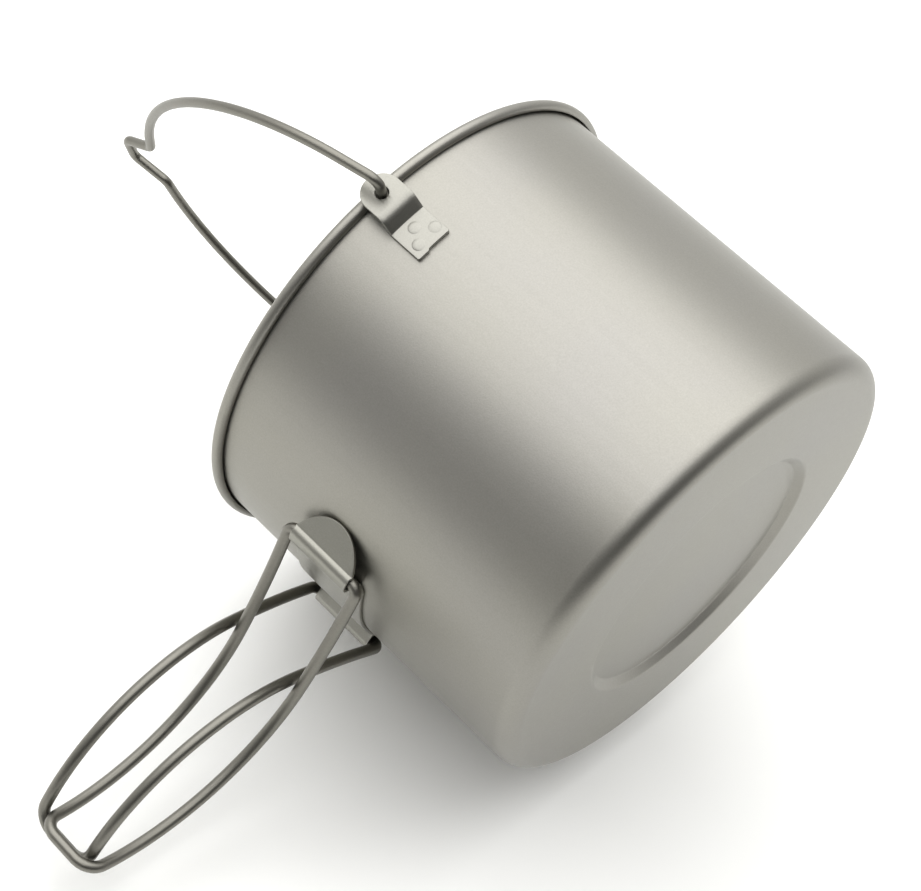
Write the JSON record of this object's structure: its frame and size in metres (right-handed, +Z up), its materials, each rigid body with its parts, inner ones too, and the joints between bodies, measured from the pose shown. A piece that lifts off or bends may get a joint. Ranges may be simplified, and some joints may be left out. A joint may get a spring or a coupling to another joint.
{
  "type": "camping pot",
  "caption": "Thin metal camping pot with a rolled rim, a swinging wire bail and a pair of folding wire handles.",
  "frame": {"origin": "centre of the underside of the shallow disc stamped into the base, on the pot's axis, 1.9 mm above the ring that the pot stands on", "axes": "+Z up along the pot's axis and out of its mouth, +X out through the middle of the handle bracket, so that the bail's hinge axis runs along Y"},
  "size_m": [0.2222, 0.153, 0.1958],
  "materials": {
    "blasted_sheet": "matte, sandblasted",
    "fitting_sheet": "matte, sandblasted",
    "wire": "satin, sandblasted"
  },
  "bodies": {
    "pot": {"pot_body": "blasted_sheet", "bail_ear_left": "fitting_sheet", "bail_ear_right": "fitting_sheet", "handle_bracket": "fitting_sheet"},
    "bail": {"bail_wire": "wire"},
    "handle_left": {"handle_wire_left": "wire"},
    "handle_right": {"handle_wire_right": "wire"}
  },
  "joints": [
    {"name": "bail_swing", "type": "hinge", "parent": "pot", "child": "bail", "pos_m": [0, 0, 0.0972], "axis": [0, 1, 0], "range_deg": [-138, 91]},
    {"name": "handle_left_fold", "type": "hinge", "parent": "pot", "child": "handle_left", "pos_m": [0.0637, 0.026, 0.05825], "axis": [0, 0, 1], "range_deg": [0, 169]},
    {"name": "handle_right_fold", "type": "hinge", "parent": "pot", "child": "handle_right", "pos_m": [0.0637, -0.026, 0.06195], "axis": [0, 0, -1], "range_deg": [0, 169]}
  ]
}
